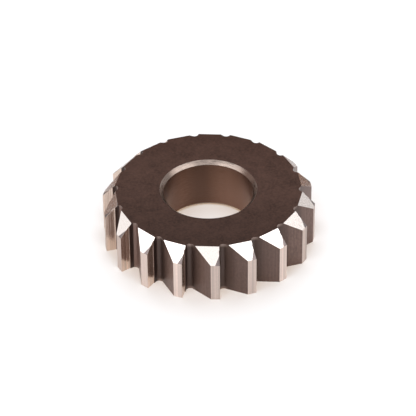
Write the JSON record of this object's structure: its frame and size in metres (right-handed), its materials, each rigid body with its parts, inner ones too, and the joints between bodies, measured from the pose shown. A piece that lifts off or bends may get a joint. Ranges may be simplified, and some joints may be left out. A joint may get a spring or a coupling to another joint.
{
  "type": "shell reamer",
  "caption": "Ring-shaped shell reamer with straight relief-ground teeth, a lead chamfer on each tooth and a plain chamfered bore for a pilot arbor.",
  "frame": {"origin": "on the bore axis, in the plane of the flat back face that the part rests on", "axes": "+Z along the bore axis towards the front face with the lead chamfers; +X through the cutting edge of one tooth"},
  "size_m": [0.044, 0.0436, 0.0115],
  "materials": {
    "tool_steel": "dark matte tool steel on the faces and flutes, bright ground on the lands, the lead chamfers and the bore chamfers"
  },
  "bodies": {
    "root": {"reamer_ring": "tool_steel"}
  },
  "joints": []
}
